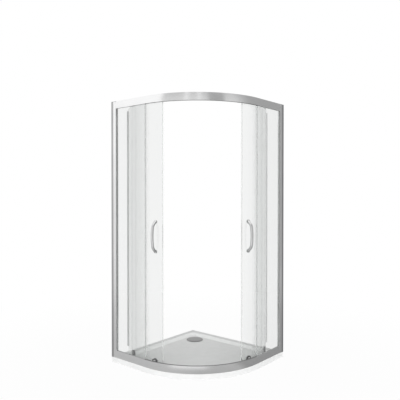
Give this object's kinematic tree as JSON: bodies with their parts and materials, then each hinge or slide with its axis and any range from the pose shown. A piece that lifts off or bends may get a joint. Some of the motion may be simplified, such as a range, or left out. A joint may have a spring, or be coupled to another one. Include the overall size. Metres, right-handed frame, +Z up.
{
  "type": "corner shower enclosure",
  "caption": "Quadrant corner shower enclosure with low tray, bright metal frame, flat fixed glass panels and curved sliding glass doors with bow handles.",
  "frame": {"origin": "middle of the square footprint on the tray's underside", "axes": "+Z up; -X faces the left wall, +Y faces the back wall, the bend bulges towards +X and -Y"},
  "size_m": [0.9132, 0.9132, 1.886],
  "materials": {
    "tray_white": "glossy white acrylic",
    "drain_chrome": "polished",
    "drain_plastic": "moulded",
    "frame_aluminium": "polished bright",
    "glass_clear": "clear toughened",
    "handle_chrome": "polished",
    "steel": "stainless",
    "grey_plastic": "moulded grey",
    "wheel_plastic": "turned acetal",
    "seal_pvc": "translucent soft",
    "gasket_rubber": "matte"
  },
  "bodies": {
    "frame": {"adjuster_screw_caps": "grey_plastic", "adjuster_screws": "steel", "bottom_rail": "frame_aluminium", "bottom_rail_infill": "gasket_rubber", "corner_blocks": "grey_plastic", "door_stops": "gasket_rubber", "drain_flange": "drain_plastic", "drain_strainer": "drain_plastic", "fixed_glass_left": "glass_clear", "fixed_glass_right": "glass_clear", "fixed_panel_seal_left": "seal_pvc", "fixed_panel_seal_right": "seal_pvc", "glazing_gaskets_left": "gasket_rubber", "glazing_gaskets_right": "gasket_rubber", "guide_track": "frame_aluminium", "post_cap_left": "grey_plastic", "post_cap_right": "grey_plastic", "rail_screws": "steel", "shower_tray": "tray_white", "top_rail": "frame_aluminium", "top_rail_infill": "gasket_rubber", "top_track": "frame_aluminium", "track_brackets": "grey_plastic", "upright_profile_left": "frame_aluminium", "upright_profile_right": "frame_aluminium", "wall_profile_left": "frame_aluminium", "wall_profile_right": "frame_aluminium"},
    "door_left": {"bottom_guides_left": "grey_plastic", "door_glass_left": "glass_clear", "guide_axles_left": "steel", "guide_bolts_left": "steel", "guide_caps_left": "grey_plastic", "handle_left": "handle_chrome", "handle_screws_left": "steel", "handle_washers_left": "seal_pvc", "hangers_left": "wheel_plastic", "magnetic_seal_left": "seal_pvc", "running_axles_left": "steel", "trailing_seal_left": "seal_pvc"},
    "door_right": {"bottom_guides_right": "grey_plastic", "door_glass_right": "glass_clear", "guide_axles_right": "steel", "guide_bolts_right": "steel", "guide_caps_right": "grey_plastic", "handle_right": "handle_chrome", "handle_screws_right": "steel", "handle_washers_right": "seal_pvc", "hangers_right": "wheel_plastic", "magnetic_seal_right": "seal_pvc", "running_axles_right": "steel", "trailing_seal_right": "seal_pvc"},
    "drain_cover": {"drain_cover": "drain_chrome"},
    "guide_wheel_leading_left": {"guide_wheel_leading_left": "wheel_plastic"},
    "guide_wheel_leading_right": {"guide_wheel_leading_right": "wheel_plastic"},
    "guide_wheel_trailing_left": {"guide_wheel_trailing_left": "wheel_plastic"},
    "guide_wheel_trailing_right": {"guide_wheel_trailing_right": "wheel_plastic"},
    "running_wheel_leading_left": {"running_wheel_leading_left": "wheel_plastic"},
    "running_wheel_leading_right": {"running_wheel_leading_right": "wheel_plastic"},
    "running_wheel_trailing_left": {"running_wheel_trailing_left": "wheel_plastic"},
    "running_wheel_trailing_right": {"running_wheel_trailing_right": "wheel_plastic"}
  },
  "joints": [
    {"name": "door_left_slide", "type": "hinge", "parent": "frame", "child": "door_left", "pos_m": [-0.1, 0.1, 0], "axis": [0, 0, 1], "range_deg": [-2, 30]},
    {"name": "door_right_slide", "type": "hinge", "parent": "frame", "child": "door_right", "pos_m": [-0.1, 0.1, 0], "axis": [0, 0, -1], "range_deg": [-2, 30]},
    {"name": "running_wheel_leading_left_spin", "type": "hinge", "parent": "door_left", "child": "running_wheel_leading_left", "pos_m": [-0.0382, -0.42336, 1.8663], "axis": [0.1173, -0.9931, 0], "continuous": true},
    {"name": "running_wheel_leading_right_spin", "type": "hinge", "parent": "door_right", "child": "running_wheel_leading_right", "pos_m": [0.42336, 0.0382, 1.8663], "axis": [0.9931, -0.1173, 0], "continuous": true},
    {"name": "running_wheel_trailing_left_spin", "type": "hinge", "parent": "door_left", "child": "running_wheel_trailing_left", "pos_m": [-0.28254, -0.39438, 1.8663], "axis": [-0.3464, -0.9381, 0], "continuous": true},
    {"name": "running_wheel_trailing_right_spin", "type": "hinge", "parent": "door_right", "child": "running_wheel_trailing_right", "pos_m": [0.39438, 0.28254, 1.8663], "axis": [0.9381, 0.3464, 0], "continuous": true},
    {"name": "guide_wheel_leading_left_spin", "type": "hinge", "parent": "door_left", "child": "guide_wheel_leading_left", "pos_m": [-0.04059, -0.4031, 0.0658], "axis": [0.1173, -0.9931, 0], "continuous": true},
    {"name": "guide_wheel_leading_right_spin", "type": "hinge", "parent": "door_right", "child": "guide_wheel_leading_right", "pos_m": [0.4031, 0.04059, 0.0658], "axis": [0.9931, -0.1173, 0], "continuous": true},
    {"name": "guide_wheel_trailing_left_spin", "type": "hinge", "parent": "door_left", "child": "guide_wheel_trailing_left", "pos_m": [-0.27547, -0.37524, 0.0658], "axis": [-0.3464, -0.9381, 0], "continuous": true},
    {"name": "guide_wheel_trailing_right_spin", "type": "hinge", "parent": "door_right", "child": "guide_wheel_trailing_right", "pos_m": [0.37524, 0.27547, 0.0658], "axis": [0.9381, 0.3464, 0], "continuous": true},
    {"name": "drain_cover_lift", "type": "slide", "parent": "frame", "child": "drain_cover", "axis": [0, 0, 1], "range_m": [0, 0.03]}
  ],
  "couplings": [
    {"joint": "running_wheel_leading_left_spin", "follows": "door_left_slide", "ratio": -52.7},
    {"joint": "running_wheel_leading_right_spin", "follows": "door_right_slide", "ratio": 52.7},
    {"joint": "running_wheel_trailing_left_spin", "follows": "door_left_slide", "ratio": -52.7},
    {"joint": "running_wheel_trailing_right_spin", "follows": "door_right_slide", "ratio": 52.7},
    {"joint": "guide_wheel_leading_left_spin", "follows": "door_left_slide", "ratio": -67.547},
    {"joint": "guide_wheel_leading_right_spin", "follows": "door_right_slide", "ratio": 67.547},
    {"joint": "guide_wheel_trailing_left_spin", "follows": "door_left_slide", "ratio": -67.547},
    {"joint": "guide_wheel_trailing_right_spin", "follows": "door_right_slide", "ratio": 67.547}
  ]
}
